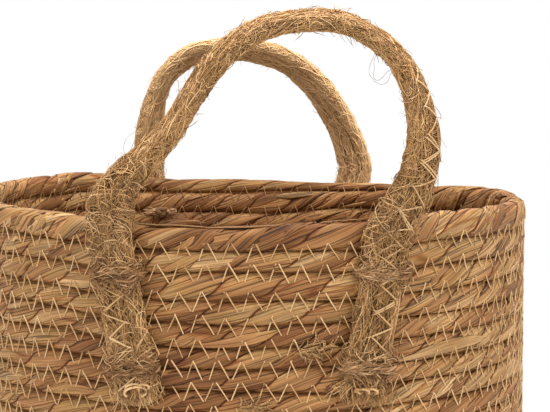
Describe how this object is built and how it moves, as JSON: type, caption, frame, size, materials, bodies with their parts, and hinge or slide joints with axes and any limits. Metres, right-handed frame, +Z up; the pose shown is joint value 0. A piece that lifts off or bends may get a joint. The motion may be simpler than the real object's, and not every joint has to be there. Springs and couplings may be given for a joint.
{
  "type": "coiled basket",
  "caption": "Round coiled seagrass basket, open at the top, with an upright jute cord handle lashed to the outside on each of two opposite sides.",
  "frame": {"origin": "On the basket's vertical axis, on the surface that it stands on.", "axes": "+Z up. The near handle is at -Y and the far handle at +Y, so +X is to the right of someone who faces the near handle."},
  "size_m": [0.3464, 0.3538, 0.3583],
  "materials": {
    "seagrass": "dry twisted seagrass rope, low sheen",
    "jute_cord": "hairy jute cord, matte",
    "jute_yarn": "loosely spun jute yarn, matte"
  },
  "bodies": {
    "basket": {"base_coil": "seagrass", "wall_coil": "seagrass", "near_handle_left_leg_inner_cord": "jute_cord", "near_handle_left_leg_middle_cord": "jute_cord", "near_handle_left_leg_outer_cord": "jute_cord", "near_handle_left_upper_lashing": "jute_yarn", "near_handle_left_lower_lashing": "jute_yarn", "near_handle_right_leg_inner_cord": "jute_cord", "near_handle_right_leg_middle_cord": "jute_cord", "near_handle_right_leg_outer_cord": "jute_cord", "near_handle_right_upper_lashing": "jute_yarn", "near_handle_right_lower_lashing": "jute_yarn", "far_handle_left_leg_inner_cord": "jute_cord", "far_handle_left_leg_middle_cord": "jute_cord", "far_handle_left_leg_outer_cord": "jute_cord", "far_handle_left_upper_lashing": "jute_yarn", "far_handle_left_lower_lashing": "jute_yarn", "far_handle_right_leg_inner_cord": "jute_cord", "far_handle_right_leg_middle_cord": "jute_cord", "far_handle_right_leg_outer_cord": "jute_cord", "far_handle_right_upper_lashing": "jute_yarn", "far_handle_right_lower_lashing": "jute_yarn"},
    "near_handle": {"near_handle_inner_cord": "jute_cord", "near_handle_middle_cord": "jute_cord", "near_handle_outer_cord": "jute_cord"},
    "far_handle": {"far_handle_inner_cord": "jute_cord", "far_handle_middle_cord": "jute_cord", "far_handle_outer_cord": "jute_cord"}
  },
  "joints": [
    {"name": "near_handle_swing", "type": "hinge", "parent": "basket", "child": "near_handle", "pos_m": [0, -0.15877, 0.25568], "axis": [1, 0, 0], "range_deg": [-80, 90], "stiffness_Nm_per_rad": 0.12},
    {"name": "far_handle_swing", "type": "hinge", "parent": "basket", "child": "far_handle", "pos_m": [0, 0.15877, 0.25568], "axis": [-1, 0, 0], "range_deg": [-80, 90], "stiffness_Nm_per_rad": 0.12}
  ]
}
